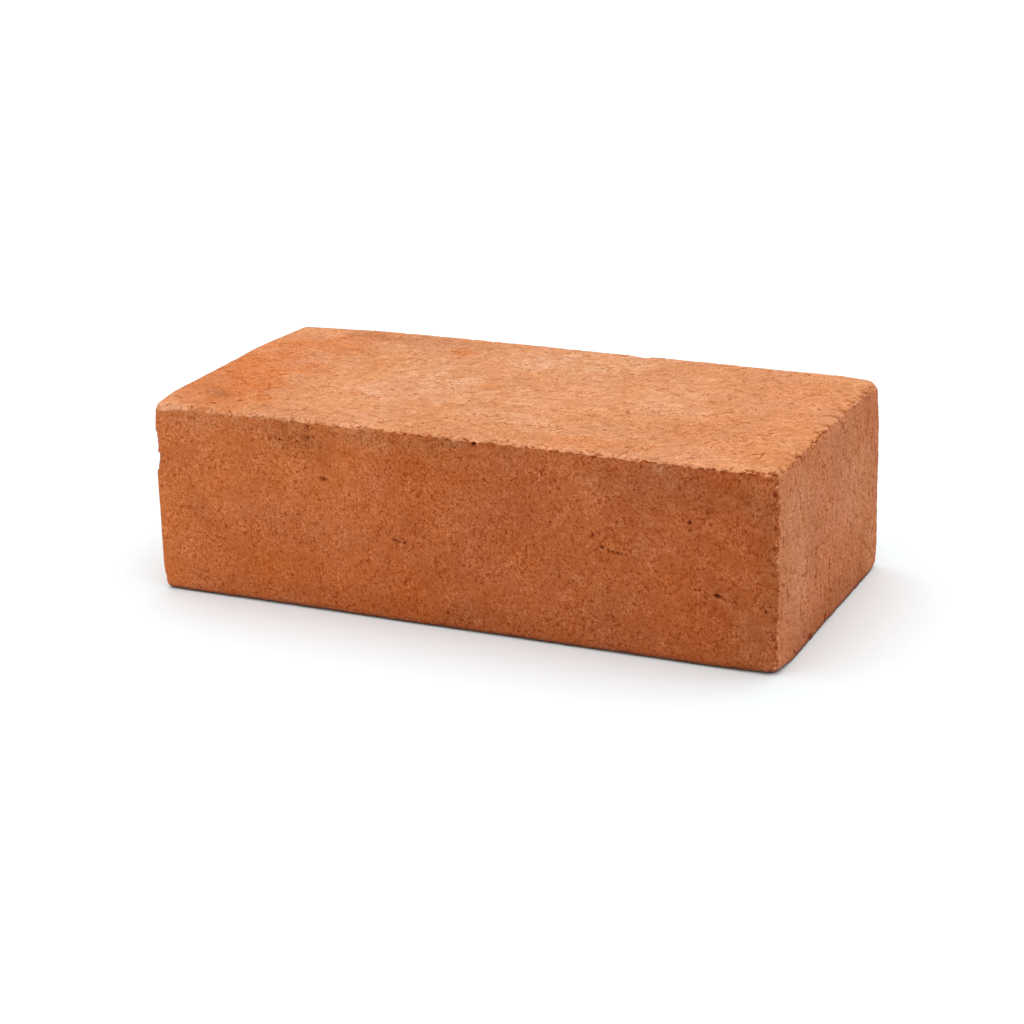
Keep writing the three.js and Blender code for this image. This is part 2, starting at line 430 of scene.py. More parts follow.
# The beds' clay reaches over the arrises with a frayed edge: the scale and share of the fraying.
# On the lower bed it is only where the surface faces down by more than this.
BED_FRAY = [(3.5, 0.4)]
LOWER_BED_FROM = 0.6
# The upper bed's rim, which gets a painted highlight, is where the surface faces this much to the
# front and this much up.
RIM_FRONT = (0.05, 0.35)
RIM_UP = (0, 0.3)
# How far up from the ground a painted contact shade shows. There is none where the surface faces
# straight down.
GROUND_SHADE_REACH = 1.2
GROUND_SHADE_FACING = (-1, -0.98)
# The stretchers' firing, from one end to the other as shares of the half length, and how it wanders
FIRED_SPAN = (-1.1, 1.1)
FIRED_WANDER = [(60, 0.4)]


def axis(face, name):
    return np.array(FACES[face][name], float)


def arris_axis(faces):
    """The axis that an arris runs along, as a positive direction."""
    return 1 - np.abs(axis(faces[0], "out") + axis(faces[1], "out"))


def place(face, across, up):
    """The point of the box that lies across and up from the middle of a face."""
    return axis(face, "out") * HALF + axis(face, "across") * across + axis(face, "up") * up


def reach_of(face):
    """How far a face reaches from its middle, across and up."""
    return [float(np.abs(axis(face, name)) @ HALF) for name in ("across", "up")]


# ---- Noise ----------------------------------------------------------------------------------


def make_noise(seed):
    """A repeatable 3-D gradient noise, from about -1 to 1, as a function of points and a scale."""
    rng = np.random.default_rng(seed)
    table = np.tile(rng.permutation(HASH_SIZE), 3)
    slopes = rng.normal(size=(HASH_SIZE, 3))
    slopes /= np.linalg.norm(slopes, axis=1, keepdims=True)

    def noise(points, scale):
        p = points / scale
        cell = np.floor(p).astype(int)
        inside = p - cell
        fade = inside**3 * (inside * (inside * 6 - 15) + 10)
        cell %= HASH_SIZE
        total = np.zeros(len(p))
        for corner in np.ndindex(2, 2, 2):
            step = np.array(corner)
            i, j, k = ((cell + step) % HASH_SIZE).T
            slope = slopes[table[table[table[i] + j] + k]]
            weight = np.prod(np.where(step, fade, 1 - fade), axis=1)
            total += weight * np.einsum("ij,ij->i", slope, inside - step)
        return total * NOISE_GAIN

    return noise


def layered(noise, points, layers):
    """The sum of layers of noise, each given as its scale and its share."""
    return sum(share * noise(points, scale) for scale, share in layers)


def smooth(low, high, values):
    """0 below low and 1 above high, with a smooth step between. It falls where high < low."""
    t = np.clip((values - low) / (high - low), 0, 1)
    return t * t * (3 - 2 * t)


# ---- The mesh -------------------------------------------------------------------------------


def box_grid():
    """Vertices and quads of a box around the middle, with an even grid of lines on each face."""
    counts = np.maximum(1, np.round(2 * HALF / GRID)).astype(int)
    keys, quads = [], []
    for face in FACES:
        out, across, up = (axis(face, name).astype(int) for name in ("out", "across", "up"))
        wide, high = (int(abs(direction) @ counts) for direction in (across, up))
        i, j = np.meshgrid(np.arange(wide + 1), np.arange(high + 1), indexing="ij")
        # Twice the grid position from the middle, so that it stays a whole number
        doubled = (2 * i - wide)[..., None] * across + (2 * j - high)[..., None] * up + out * counts
        start = sum(len(k) for k in keys)
        number = start + (i * (high + 1) + j)
        corners = (number[:-1, :-1], number[1:, :-1], number[1:, 1:], number[:-1, 1:])
        keys.append(doubled.reshape(-1, 3))
        quads.append(np.stack(corners, -1).reshape(-1, 4))
    unique, where = np.unique(np.concatenate(keys), axis=0, return_inverse=True)
    return unique / counts * HALF, where.reshape(-1)[np.concatenate(quads)]


def insets_of(points):
    """How far each point lies in from the three pairs of faces, smallest first."""
    return np.sort(HALF - np.abs(points), axis=1)


def mark_discs(pits, cracks):
    """The middle and the radius, with a margin, of each place where the mesh has to be finer."""
    discs = []
    for face, across, up, long, *_ in pits:
        discs.append((place(face, across, up), long / 2 + MARK_MARGIN))
    for face, width, _, path in cracks:
        for start, end in zip(path, path[1:]):
            steps = max(2, math.ceil(math.dist(start, end)))
            for t in np.linspace(0, 1, steps + 1):
                across, up = (a + (b - a) * t for a, b in zip(start, end))
                discs.append((place(face, across, up), width + MARK_MARGIN))
    return discs


def refine(bm, arris_distance, disc_margin, discs):
    """Halves the grid near the arrises and the discs."""
    verts = list(bm.verts)
    points = np.array([v.co for v in verts])
    near = insets_of(points)[:, 1] < arris_distance
    for centre, radius in discs:
        near |= np.abs(points - centre).max(1) < radius + disc_margin
    chosen = {v for v, is_near in zip(verts, near) if is_near}
    edges = [e for e in bm.edges if e.verts[0] in chosen and e.verts[1] in chosen]
    bmesh.ops.subdivide_edges(bm, edges=edges, cuts=1, use_grid_fill=True)
    bmesh.ops.triangulate(bm, faces=[f for f in bm.faces if len(f.verts) > 4])


def grid_mesh(discs):
    """The box's grid as a mesh, finer near the arrises and the discs."""
    points, quads = box_grid()
    bm = bmesh.new()
    verts = [bm.verts.new(p) for p in points]
    for quad in quads:
        bm.faces.new([verts[i] for i in quad])
    refine(bm, HALVED_WITHIN, GRID, discs)
    refine(bm, QUARTERED_WITHIN, GRID / 2, discs)
    mesh = bpy.data.meshes.new("worn_brick")
    bm.to_mesh(mesh)
    bm.free()
    return mesh


# ---- Wear, chips, pits and cracks -----------------------------------------------------------


def off_arris(points, faces):
    """How far each point lies from an arris, along the farther of its two faces."""
    off = [(HALF * axis(face, "out") - points) @ axis(face, "out") for face in faces]
    return np.maximum(*off)


def worn_radius(points, noise):
    """The radius that the box is worn to near each point."""
    along_arris = insets_of(points)[:, 2]
    arris = np.full(len(points), ARRIS_RADIUS)
    for faces, value in ARRIS_RADII.items():
        arris[off_arris(points, faces) < ARRIS_WITHIN] = value
    arris += ARRIS_DRIFT * noise(points, ARRIS_DRIFT_SCALE)
    radius = np.full(len(points), float(CORNER_RADIUS))
    reach = np.full(len(points), float(CORNER_REACH))
    for faces, corner_radius, corner_reach in CORNERS:
        toward = sum(axis(face, "out") for face in faces)
        there = np.all(points * toward >= 0, axis=1)
        radius[there] = corner_radius
        reach[there] = corner_reach
    near_corner = 1 - smooth(0, 1, along_arris / reach)
    return arris + (radius - arris) * near_corner


def wear(points, noise):
    """The points moved onto the worn block, and the outward direction at each."""
    radius = worn_radius(points, noise)[:, None]
    core = np.clip(points, radius - HALF, HALF - radius)
    out = points - core
    out /= np.linalg.norm(out, axis=1, keepdims=True)
    return core + out * radius, out


def crumble(points, worn, arris, noise):
    """How deep the arrises have crumbled at each point."""
    rough = np.zeros(len(points))
    for layer, (scale, depth, level) in enumerate(CRUMBLE):
        crumbs = noise(worn + CRUMBLE_APART * layer, scale)
        rough += depth * smooth(level, level + CRUMBLE_STEP, crumbs)
    share = np.full(len(points), OTHER_CRUMBLE)
    for faces, value in CRUMBLE_SHARES.items():
        share[off_arris(points, faces) < CRUMBLE_WITHIN] = value
    return arris * rough * (share * smooth(*CRUMBLE_SPAN, points[:, 0]))


def cut_arris(points, noise):
    """How deep the small cuts across one arris are at each point."""
    along = arris_axis(CUT_ARRIS)
    near = np.ones(len(points))
    for other, reach in zip(CUT_ARRIS[::-1], CUT_REACHES):
        off = (axis(other, "out") * HALF - points) @ axis(other, "out")
        near *= np.exp(-((off / reach) ** 2))
    near *= smooth(*CUT_END, (HALF - points) @ along)
    drawn = points * (CUT_ACROSS + (1 - CUT_ACROSS) * along)
    return CUT_DEPTH * near * smooth(*CUT_LEVELS, noise(drawn, CUT_SPACING))


def hollow_arris(points, hollows, noise):
    """How deep the hollows under an arris are at each point."""
    faces, face, inset, spread, scale, depth, level = hollows
    other = faces[0] if face == faces[1] else faces[1]
    below = np.abs(points - axis(other, "out") * HALF) @ np.abs(axis(other, "out"))
    on_face = (points @ axis(face, "out")) > (HALF @ np.abs(axis(face, "out"))) - HOLLOW_SKIN
    band = np.exp(-(((below - inset) / spread) ** 2)) * on_face * smooth(*HOLLOW_SPAN, points[:, 0])
    return depth * band * smooth(level, level + CRUMBLE_STEP, noise(points, scale))


def scoop_chip(points, chip, noise):
    """How far each point is moved in by a chip, and in which direction."""
    faces, at, long, deep, hollow, _ = chip
    toward = axis(faces[0], "out") + axis(faces[1], "out")
    along = arris_axis(faces)
    out = toward / np.linalg.norm(toward)
    worn_away = ARRIS_RADIUS * (math.sqrt(2) - 1)
    centre = (toward + along * at) * HALF + out * (hollow - deep - worn_away)
    half_long = long / 2 / math.sqrt(1 - (1 - deep / hollow) ** 2)
    rough = 1 + deep / hollow * layered(noise, points, CHIP_ROUGHNESS)
    offset = (points - centre) / rough[:, None]
    x = offset @ along / half_long
    y = offset @ out / hollow
    z = offset @ np.cross(along, out) / hollow
    inside = x**2 + y**2 + z**2 < 1
    depth = np.where(inside, (y + np.sqrt(np.maximum(0, 1 - x**2 - z**2))) * hollow, 0)
    return depth, out


def out_of_oval(offset, face, long, wide, turn):
    """How far out from the middle of an oval on a face each offset is. Its edge is at 1."""
    angle = math.radians(turn)
    a = offset @ axis(face, "across")
    b = offset @ axis(face, "up")
    u = (a * math.cos(angle) + b * math.sin(angle)) / (long / 2)
    v = (b * math.cos(angle) - a * math.sin(angle)) / (wide / 2)
    return np.hypot(u, v)


def sink_pit(points, pit, noise):
    """How deep a pit is at each point."""
    face, across, up, long, wide, deep, turn = pit
    offset = points - place(face, across, up)
    near = np.abs(offset).max(1) < long
    reach = out_of_oval(offset[near], face, long, wide, turn)
    reach += layered(noise, points[near], PIT_RAGGEDNESS)
    depth = np.zeros(len(points))
    depth[near] = deep * smooth(*PIT_WALL, reach)
    return depth


def cut_crack(points, crack, noise):
    """How deep a crack is at each point."""
    face, width, deep, path = crack
    offset = points - axis(face, "out") * HALF
    wander_across, wander_up = CRACK_WANDER
    a = offset @ axis(face, "across") + wander_across * noise(points, CRACK_WANDER_SCALE)
    b = offset @ axis(face, "up") + wander_up * noise(points + CRACK_WANDER_APART, CRACK_WANDER_SCALE)
    on_face = np.abs(offset @ axis(face, "out")) < CRACK_SKIN
    distance = np.full(len(points), np.inf)
    for (a0, b0), (a1, b1) in zip(path, path[1:]):
        run = np.array([a1 - a0, b1 - b0])
        t = np.clip(((a - a0) * run[0] + (b - b0) * run[1]) / (run @ run), 0, 1)
        distance = np.minimum(distance, np.hypot(a - a0 - t * run[0], b - b0 - t * run[1]))
    is_open = smooth(*CRACK_CLOSED, noise(points + CRACK_CLOSED_APART, CRACK_CLOSED_SCALE))
    return np.where(on_face, deep * is_open * smooth(width, width * CRACK_FLOOR, distance), 0)


def scattered_pits():
    """Small pits at random places, kept clear of the arrises."""
    rng = np.random.default_rng(SCATTERED_SEED)
    pits = []
    for face in FACES:
        reach = reach_of(face)
        count = round(4 * reach[0] * reach[1] / 100 * SCATTERED_PER_CM2)
        for _ in range(count):
            across, up = (rng.uniform(-SCATTERED_SPREAD, SCATTERED_SPREAD) * r for r in reach)
            long = rng.uniform(*SCATTERED_LENGTHS)
            wide = long * rng.uniform(*SCATTERED_WIDTHS)
            deep = rng.uniform(*SCATTERED_DEPTHS)
            pits.append((face, across, up, long, wide, deep, rng.uniform(0, 180)))
    return pits


def random_blotches():
    """Marks at random places on the faces that have none of their own."""
    rng = np.random.default_rng(RANDOM_SEED)
    blotches = []
    for face in PLAIN_FACES:
        for index in range(RANDOM_BLOTCHES):
            kind = RANDOM_KINDS[index % len(RANDOM_KINDS)]
            across, up = (rng.uniform(-RANDOM_SPREAD, RANDOM_SPREAD) * r for r in reach_of(face))
            long = rng.uniform(*RANDOM_LENGTHS)
            wide = rng.uniform(*RANDOM_WIDTHS)
            turn = rng.uniform(0, 180)
            blotches.append((face, kind, across, up, long, wide, turn, rng.uniform(*RANDOM_STRENGTHS)))
    return blotches


def blotch_at(points, out, blotch, ragged):
    """How strongly a mark shows at each point."""
    face, _, across, up, long, wide, turn, strength = blotch
    reach = out_of_oval(points - place(face, across, up), face, long, wide, turn) + ragged
    facing = np.clip(out @ axis(face, "out"), 0, 1)
    return strength * facing * smooth(*BLOTCH_EDGE, reach)


def blotch_readings(points, out, noise):
    """How strongly each kind of mark shows at each point."""
    blotches = random_blotches()
    for face, kinds in BLOTCHES.items():
        for kind, own in kinds.items():
            blotches += [(face, kind, *blotch) for blotch in own]
    readings = {kind: np.zeros(len(points)) for kind in ALL_KINDS}
    ragged = layered(noise, points, BLOTCH_RAGGEDNESS)
    for blotch in blotches:
        kind = blotch[1]
        readings[kind] = np.maximum(readings[kind], blotch_at(points, out, blotch, ragged))
    return readings


def shape_brick(points, pits, cracks):
    """The points of the box grid moved to the brick's surface, and what its material reads there."""
    wander, lumps, crumbs, breaks = (make_noise(seed) for seed in NOISE_SEEDS)
    worn, out = wear(points, wander)
    to_front, to_top = -out[:, 1], out[:, 2]

    sunk = np.zeros(len(points))
    for layer, (scale, depth) in enumerate(UNEVENNESS):
        sink = UNEVENNESS_SINK + lumps(worn + UNEVENNESS_APART * layer, scale)
        sunk += depth * np.maximum(0, sink)
    arris = np.exp(-((insets_of(points)[:, 1] / CRUMBLE_REACH) ** 2))
    cuts = cut_arris(points, breaks)
    sunk += crumble(points, worn, arris, crumbs) + cuts
    for hollows in HOLLOWS:
        sunk += hollow_arris(points, hollows, crumbs)
    cavity = np.zeros(len(points))
    for pit in pits:
        cavity = np.maximum(cavity, sink_pit(points, pit, breaks))
    for crack in cracks:
        cavity = np.maximum(cavity, cut_crack(points, crack, breaks))

    placed = worn - out * (sunk + cavity)[:, None]
    bare = np.zeros(len(points))
    for chip in CHIPS:
        *_, bareness = chip
        depth, direction = scoop_chip(placed, chip, breaks)
        placed -= depth[:, None] * direction
        bare = np.maximum(bare, bareness * smooth(0, CHIP_BARE, depth))
    placed = np.clip(placed, -HALF, HALF)

    fray = layered(breaks, worn, BED_FRAY) * arris
    lower_bed = (-to_top - LOWER_BED_FROM) / (1 - LOWER_BED_FROM)
    bed = np.where(to_top > 0, to_top, lower_bed) * (1 - bare)
    above_ground = (worn[:, 2] + HALF[2]) / GROUND_SHADE_REACH
    along = worn[:, 0] / HALF[0] + layered(wander, worn, FIRED_WANDER)
    readings = {
        "arris": arris,
        "bed": np.clip(bed + fray, 0, 1),
        "header": np.clip(np.abs(out[:, 0]) + fray, 0, 1),
        # Painted highlight on the rounded rim of the upper bed
        "rim_highlight": smooth(*RIM_FRONT, to_front) * smooth(*RIM_UP, to_top),
        "fired": smooth(*FIRED_SPAN, along),
        "cavity": smooth(*CAVITY_SHOWS, np.maximum(cavity, CUT_SHOWS * cuts)),
        "deep": smooth(*DEEP_SHOWS, cavity),
        "hollow": smooth(*HOLLOW_SHOWS, sunk),
        # Painted shade near the ground, where the brick meets the floor
        "ground_shade": np.exp(-(above_ground**2)) * smooth(*GROUND_SHADE_FACING, to_top),
    }
    return placed, readings | blotch_readings(worn, out, wander)


def make_brick():
    """The worn brick as an object, with what its material reads as attributes of its mesh."""
    pits = [(face, *pit) for face, own in PITS.items() for pit in own] + scattered_pits()
    cracks = [(face, *crack) for face, own in CRACKS.items() for crack in own]
    mesh = grid_mesh(mark_discs(pits, cracks))
    grid = np.zeros(len(mesh.vertices) * 3, np.float32)
    mesh.vertices.foreach_get("co", grid)
    placed, readings = shape_brick(grid.reshape(-1, 3).astype(float), pits, cracks)
    mesh.vertices.foreach_set("co", (placed * MM + MIDDLE).astype(np.float32).ravel())
    for name, values in readings.items():
        attribute = mesh.attributes.new(name, "FLOAT", "POINT")
        attribute.data.foreach_set("value", values.astype(np.float32))
    mesh.update()
    mesh.shade_smooth()
    brick = bpy.data.objects.new("worn_brick", mesh)
    bpy.context.scene.collection.objects.link(brick)
    return brick


# ---- The material ---------------------------------------------------------------------------


def shown(red, green, blue):
    """A colour given in 0 to 255, as it shows on a screen."""
    return (red / 255, green / 255, blue / 255, 1)


# Colours are mixed as they show on a screen, and made linear at the end.
SCREEN_GAMMA = 2.2
# A stretcher face at its left and right ends, then the headers and the beds, paler partly in their
# clay and partly with painted sheen, and the painted highlight on the upper bed's rim
STRETCHER_PALE = shown(202, 114, 62)
STRETCHER_DEEP = shown(170, 89, 47)
HEADER_CLAY_AND_SHEEN = shown(196, 120, 79)
BED_CLAY_AND_SHEEN = shown(212, 142, 98)
# A painted highlight on the upper bed's rounded rim
RIM_HIGHLIGHT = shown(230, 155, 110)
PIT_SHADE = shown(134, 56, 18)
DEEP_SHADE = shown(80, 24, 4)
# Painted shade for the contact line along the ground
GROUND_SHADE = shown(84, 44, 26)
DARKEST = 0.03
# Each kind of mark: its colour, and how much of it shows at full strength
MARKS = {
    "ember": (shown(201, 107, 50), 0.8),
    "dull": (shown(160, 100, 64), 0.7),
    # Damp marks, and painted shade along the bottom
    "damp_and_low_shade": (shown(142, 70, 32), 0.5),
    # Bloom, and painted highlight along the upper front arris
    "bloom_and_highlight": (shown(226, 172, 136), 0.6),
}
# How much of each shade shows in hollows, pits, deep pits and near the ground
HOLLOW_SHARE = 0.5
CAVITY_SHARE = 0.8
DEEP_SHARE = 0.7
GROUND_SHADE_SHARE = 0.85

# Grains per metre of each kind of texture
CLOUDS = 38
TONES = 45
MOTTLE = 130
DRAGS = 170
PATCHES = 200
LUMPS = 260
SPECKS = 430
CREASES = 450
FRAYS = 600
GRIT = 1700
# How much paler and darker a texture makes the clay, and how much more lumps do on the beds
CLOUD_SHARE = 0.1
MOTTLE_SHARE = 0.08
LUMP_SHARE = 0.03
BED_LUMP_SHARE = 0.08
GRIT_SHARE = 0.12
CREASE_DARK = 0.06
SPECK_DARK = 0.06
# How much the tones change green and blue, which turns the hue a little
GREEN_TONES = 0.05
BLUE_TONES = 0.15
# The fine grain is drawn out across the brick's width and height, and squeezed along its length.
GRAIN_DRAWN = Vector((1.15, 0.7, 0.8))
# Fine strokes, which are the edges of small lumps with painted highlight on one side and painted
# shade on the other: grains per metre, the side that the lumps are pale on, in millimetres, how
# soft the edges are, how much darker and paler they are, and the share of that on the stretchers
STROKES = [
    (300, (-0.2, 0.7, 0.3), 0.02, 0.16, 0.03, 0.1),
    (740, (-0.1, 0.22, 0.18), 0.05, 0.13, 0.05, 1.0),
    (1200, (0.1, -0.15, 0.18), 0.08, 0.1, 0.07, 1.0),
]
# How strong the strokes' painted highlight and shade are, and what is added to that on the beds
STROKE_SHADING_STRENGTH = 0.88
BED_STROKE_SHADING = -0.13

# Levels between which a ramp rises, or falls if the first is the higher, and then what it rises
# from and to where that isn't 0 and 1: the borders of the header and bed clay with how far they
# fray, the gaps in the marks, where the large strokes are, how strong the strokes are, the width
# of a crease, the patches that creases are in, and the specks
HEADER_EDGE = (0.6, 0.8)
HEADER_FRAY = 1.2
BED_EDGE = (0.14, 0.3)
BED_FRAYING = 2.2
PATCHY = (0.3, 0.7, 0.55, 1.0)
BROKEN = (0.8, 1.15, 0.45, 1.0)
DRAGGED = (0.42, 0.6)
ROUGHER = (0.35, 0.65, 0.65, 1.3)
CREASED = (0.03, 0.01)
IN_PATCHES = (0.54, 0.64)
SPECKLED = (0.28, 0.2)

# Height of the relief, in millimetres, that grit and strokes make
GRIT_RELIEF = 0.03
STROKE_RELIEF = 0.15
ROUGHNESS = 0.92
SPECULAR = 0.3


class Nodes:
    """Short calls for making and linking the nodes of one tree."""

    def __init__(self, tree):
        self.tree = tree
        tree.nodes.clear()

    def add(self, kind, inputs=None, **settings):
        node = self.tree.nodes.new(kind)
        for name, value in settings.items():
            setattr(node, name, value)
        for key, value in (inputs or {}).items():
            self.feed(node.inputs[key], value)
        return node

    def feed(self, socket, value):
        if isinstance(value, bpy.types.NodeSocket):
            self.tree.links.new(value, socket)
        else:
            socket.default_value = value

    def math(self, operation, *values, clamp=False):
        inputs = dict(enumerate(values))
        return self.add("ShaderNodeMath", inputs, operation=operation, use_clamp=clamp).outputs[0]

    def vector(self, operation, a, b):
        return self.add("ShaderNodeVectorMath", {0: a, 1: b}, operation=operation).outputs["Vector"]

    def mix(self, factor, a, b):
        # A mix node has a set of sockets for each type of data. These are its factor and colours.
        node = self.add("ShaderNodeMix", {0: factor}, data_type="RGBA")
        self.feed(node.inputs[6], a)
        self.feed(node.inputs[7], b)
        return node.outputs[2]

    def noise(self, place, scale, detail=2.0, roughness=0.5):
        inputs = {"Vector": place, "Scale": scale, "Detail": detail, "Roughness": roughness}
        return self.add("ShaderNodeTexNoise", inputs).outputs["Fac"]

    def centred(self, texture):
        return self.math("SUBTRACT", texture, 0.5)

    def ramp(self, value, low, high, to_low=0.0, to_high=1.0):
        inputs = {"Value": value, 1: low, 2: high, 3: to_low, 4: to_high}
        settings = {"interpolation_type": "SMOOTHSTEP"}
        return self.add("ShaderNodeMapRange", inputs, **settings).outputs["Result"]

    def reading(self, name):
        return self.add("ShaderNodeAttribute", attribute_name=name).outputs["Fac"]


def stroke_edges_and_shading(n, place, scale, side, softness):
    """The edges of small lumps, as relief and as painted shading: up to 1 on their lit side and down
    to -1 on their shaded side.
    """
    beside = n.vector("ADD", place, Vector(side) * MM)
    here, there = (
        n.ramp(n.noise(where, scale), 0.5 - softness, 0.5 + softness) for where in (place, beside)
    )
    return n.math("SUBTRACT", here, there)


def plain_clay(n, place):
    """The clay's colour, paler on beds and headers partly with painted sheen and with a painted
    highlight on the upper bed's rim, and how far the place is on a bed and on a header, up to a frayed
    edge.
    """
    fray = n.math("MULTIPLY", n.centred(n.noise(place, FRAYS, detail=1)), n.reading("arris"))
    header = n.ramp(n.math("MULTIPLY_ADD", fray, HEADER_FRAY, n.reading("header")), *HEADER_EDGE)
    bed = n.ramp(n.math("MULTIPLY_ADD", fray, BED_FRAYING, n.reading("bed")), *BED_EDGE)
    colour = n.mix(n.reading("fired"), STRETCHER_PALE, STRETCHER_DEEP)
    # The headers' clay, paler partly with painted sheen
    colour = n.mix(header, colour, HEADER_CLAY_AND_SHEEN)
    # The beds' clay, and the painted highlight on their rim
    colour = n.mix(bed, colour, n.mix(n.reading("rim_highlight"), BED_CLAY_AND_SHEEN, RIM_HIGHLIGHT))
    return colour, bed, header


def marked(n, colour, mottle, lumps):
    """The colour with the firing marks on it, and painted shade and highlight among them, broken up by
    the mottling.
    """
    patchy = n.ramp(mottle, *PATCHY)
    broken = n.ramp(n.math("ADD", mottle, lumps), *BROKEN)
    for name, (tint, share) in MARKS.items():
        strength = n.math("MULTIPLY", n.reading(name), share)
        gaps = broken if name == "bloom_and_highlight" else patchy
        colour = n.mix(n.math("MULTIPLY", strength, gaps, clamp=True), colour, tint)
    return colour


def stroke_relief_and_shading(n, place, drawn, pale_face):
    """The fine strokes all together, for the bump and as painted highlight and shade: above 0 where
    they are paler, and below 0 where darker.
    """
    drags = n.ramp(n.noise(place, DRAGS), *DRAGGED)
    relief_and_shading = 0.0
    for scale, side, softness, darker, paler, share in STROKES:
        edges = stroke_edges_and_shading(n, drawn, scale, side, softness)
        if share < 1:
            shown_here = n.math("MULTIPLY_ADD", pale_face, 1 - share, share)
            edges = n.math("MULTIPLY", edges, n.math("MULTIPLY", shown_here, drags))
        relief_and_shading = n.math("MULTIPLY_ADD", n.math("MINIMUM", edges, 0.0), darker, relief_and_shading)
        relief_and_shading = n.math("MULTIPLY_ADD", n.math("MAXIMUM", edges, 0.0), paler, relief_and_shading)
    return relief_and_shading


def grain_and_stroke_shading(n, colour, place, drawn, relief_and_shading, bed, textures):
    """The colour with the grain added: strokes painted as lit and shaded, creases, specks, the
    textures and changes of tone.
    """
    mottle = textures["mottle"]
    # The strokes' pale and dark sides are painted highlight and shade
    grain_and_shading = n.math("MULTIPLY", relief_and_shading, n.ramp(mottle, *ROUGHER))
    grain_and_shading = n.math("MULTIPLY", grain_and_shading, n.math("MULTIPLY_ADD", bed, BED_STROKE_SHADING, STROKE_SHADING_STRENGTH))
    apart = n.math("ABSOLUTE", n.centred(n.noise(drawn, CREASES, detail=1)))
    patches = n.ramp(n.noise(place, PATCHES, detail=0), *IN_PATCHES)
    creases = n.math("MULTIPLY", n.ramp(apart, *CREASED), patches)
    grain_and_shading = n.math("MULTIPLY_ADD", creases, -CREASE_DARK, grain_and_shading)
    specks = n.ramp(n.noise(place, SPECKS, detail=0), *SPECKLED)
    grain_and_shading = n.math("MULTIPLY_ADD", specks, -SPECK_DARK, grain_and_shading)
    shares = {
        "grit": GRIT_SHARE,
        "lumps": n.math("MULTIPLY_ADD", bed, BED_LUMP_SHARE, LUMP_SHARE),
        "mottle": MOTTLE_SHARE,
        "clouds": CLOUD_SHARE,
    }
    for name, share in shares.items():
        grain_and_shading = n.math("MULTIPLY_ADD", n.centred(textures[name]), share, grain_and_shading)
    tones = n.centred(n.noise(place, TONES, detail=3, roughness=0.7))
    channels = {
        0: grain_and_shading,
        1: n.math("MULTIPLY_ADD", tones, GREEN_TONES, grain_and_shading),
        2: n.math("MULTIPLY_ADD", tones, BLUE_TONES, grain_and_shading),
    }
    colour = n.vector("ADD", colour, n.add("ShaderNodeCombineXYZ", channels).outputs["Vector"])
    return n.vector("MAXIMUM", colour, (DARKEST, DARKEST, DARKEST))


def shaded(n, colour):
    """The colour, darker in hollows and pits and near the ground."""
    hollow = n.math("MULTIPLY", n.reading("hollow"), HOLLOW_SHARE)
    hollow = n.math("MAXIMUM", hollow, n.math("MULTIPLY", n.reading("cavity"), CAVITY_SHARE))
    colour = n.mix(hollow, colour, PIT_SHADE)
    colour = n.mix(n.math("MULTIPLY", n.reading("deep"), DEEP_SHARE), colour, DEEP_SHADE)
    # Painted shade along the ground line
    return n.mix(n.math("MULTIPLY", n.reading("ground_shade"), GROUND_SHADE_SHARE), colour, GROUND_SHADE)


def clay_material():
    """Fired clay, whose beds and headers are paler than its stretchers, partly with painted sheen."""
    material = bpy.data.materials.new("fired_clay")
    material.use_nodes = True
    n = Nodes(material.node_tree)
    place = n.add("ShaderNodeTexCoord").outputs["Object"]
    drawn = n.vector("MULTIPLY", place, GRAIN_DRAWN)
    textures = {
        "clouds": n.noise(place, CLOUDS),
        "mottle": n.noise(place, MOTTLE, detail=3, roughness=0.65),
        "lumps": n.noise(place, LUMPS, detail=1),
        "grit": n.noise(drawn, GRIT, detail=1, roughness=0.6),
    }

    colour, bed, header = plain_clay(n, place)
    colour = marked(n, colour, textures["mottle"], textures["lumps"])
    relief_and_shading = stroke_relief_and_shading(n, place, drawn, n.math("MAXIMUM", bed, header))
    colour = grain_and_stroke_shading(n, colour, place, drawn, relief_and_shading, bed, textures)
    colour = shaded(n, colour)
    colour = n.add("ShaderNodeGamma", {"Color": colour, "Gamma": SCREEN_GAMMA}).outputs["Color"]

    height = n.math("MULTIPLY", relief_and_shading, STROKE_RELIEF)
    height = n.math("MULTIPLY_ADD", textures["grit"], GRIT_RELIEF, height)
    bump = n.add("ShaderNodeBump", {"Height": height, "Distance": MM, "Strength": 1.0})
    surface = n.add(
        "ShaderNodeBsdfPrincipled",
        {
            "Base Color": colour,
            "Roughness": ROUGHNESS,
            "Specular IOR Level": SPECULAR,
            "Normal": bump.outputs["Normal"],
        },
    )
    output = n.add("ShaderNodeOutputMaterial")
    n.feed(output.inputs["Surface"], surface.outputs["BSDF"])
    return material


# ---- Floor, light and camera ----------------------------------------------------------------

# Side of the floor, in metres, the share of light that it bounces, and its colour as the camera
# sees it, which comes out white away from the brick's shadow
FLOOR_SIZE = 24
FLOOR_BOUNCE = 0.95
FLOOR_SEEN = (0.898, 0.963, 0.984, 1)

# Strength of the sky at the horizon, what is added overhead, and how fast that falls off
SKY_BASE = 0.05
SKY_TOP = 2.04
SKY_POWER = 1.5

CAMERA_PLACE = Vector((335.5, -734.3, 309.9)) * MM
CAMERA_YAW = math.radians(-24.735)
CAMERA_PITCH = math.radians(19.57)
CAMERA_ROLL = math.radians(-1.59)
CAMERA_LENS = 90.94
CAMERA_SENSOR = 36
# Nearest and farthest that it sees, in metres
CAMERA_CLIP = (0.01, 100)


